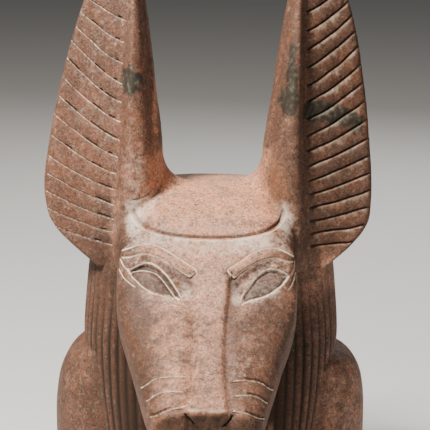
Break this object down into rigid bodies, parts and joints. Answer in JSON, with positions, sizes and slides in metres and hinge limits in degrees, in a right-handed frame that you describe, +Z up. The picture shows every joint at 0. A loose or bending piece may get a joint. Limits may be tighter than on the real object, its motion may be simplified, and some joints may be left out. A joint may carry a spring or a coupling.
{
  "type": "animal-headed statue bust",
  "caption": "Bust of a jackal-headed stone statue with tall grooved ears, a long muzzle and a wig that hangs in locks, cut flat below.",
  "frame": {"origin": "on the flat underside, under the middle of the bust's bounding box", "axes": "+Z up to the ear tips, and the muzzle points along -Y"},
  "size_m": [0.4042, 0.4424, 0.785],
  "materials": {
    "stone": "worn reddish granite with pale and dark specks, and pale dust in the incised lines"
  },
  "bodies": {
    "root": {"anubis_bust": "stone"}
  },
  "joints": []
}
